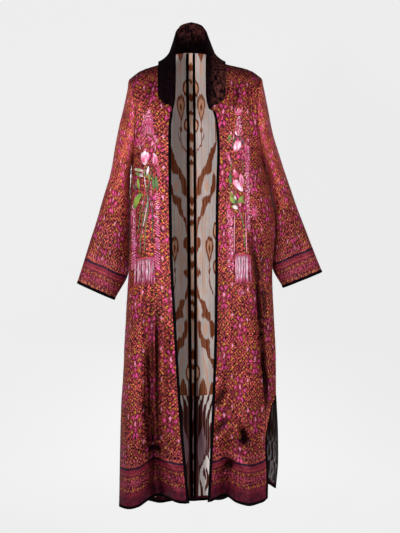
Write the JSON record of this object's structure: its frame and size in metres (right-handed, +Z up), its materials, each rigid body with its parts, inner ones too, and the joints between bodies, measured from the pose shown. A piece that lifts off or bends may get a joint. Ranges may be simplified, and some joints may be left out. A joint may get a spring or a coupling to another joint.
{
  "type": "uzbek chapan robe",
  "caption": "Long open-front robe with set-in sleeves, a shawl collar, bound edges, a side slit, back lining and a fringe on each front.",
  "frame": {"origin": "the middle of the neck, level with the shoulders, where the wearer holds the robe up", "axes": "+Z up along the robe, -Y out of its open front, +X to the wearer's left"},
  "size_m": [0.7624, 0.2606, 1.5274],
  "materials": {
    "brocade": "satin brocade, reddish brown ground with magenta, gold and salmon figures and a woven border",
    "velvet": "dark brown pile velvet with a soft sheen",
    "black_binding": "matt black woven binding",
    "ikat_lining": "soft plain weave, off-white with brown and peach ikat",
    "dark_ikat_facing": "soft plain weave, dark brown with grey and mauve ikat",
    "pink_floss": "glossy pink embroidery floss"
  },
  "bodies": {
    "root": {"back": "brocade", "band_back_left": "black_binding", "band_back_right": "black_binding", "binding_cuff_left": "black_binding", "binding_cuff_right": "black_binding", "binding_front_left": "black_binding", "binding_front_right": "black_binding", "binding_hem_back": "black_binding", "binding_hem_front_left": "black_binding", "binding_hem_front_right": "black_binding", "binding_slit_back_left": "black_binding", "binding_slit_back_right": "black_binding", "binding_slit_front_left": "black_binding", "binding_slit_front_right": "black_binding", "collar": "velvet", "facing_back": "dark_ikat_facing", "fringe_left": "pink_floss", "fringe_right": "pink_floss", "front_left": "brocade", "front_right": "brocade", "lining_back": "ikat_lining", "rose_left_lower": "pink_floss", "rose_left_middle": "pink_floss", "rose_left_upper": "pink_floss", "sleeve_left": "brocade", "sleeve_right": "brocade", "tulip_right_lower": "pink_floss", "tulip_right_upper": "pink_floss"}
  },
  "joints": []
}
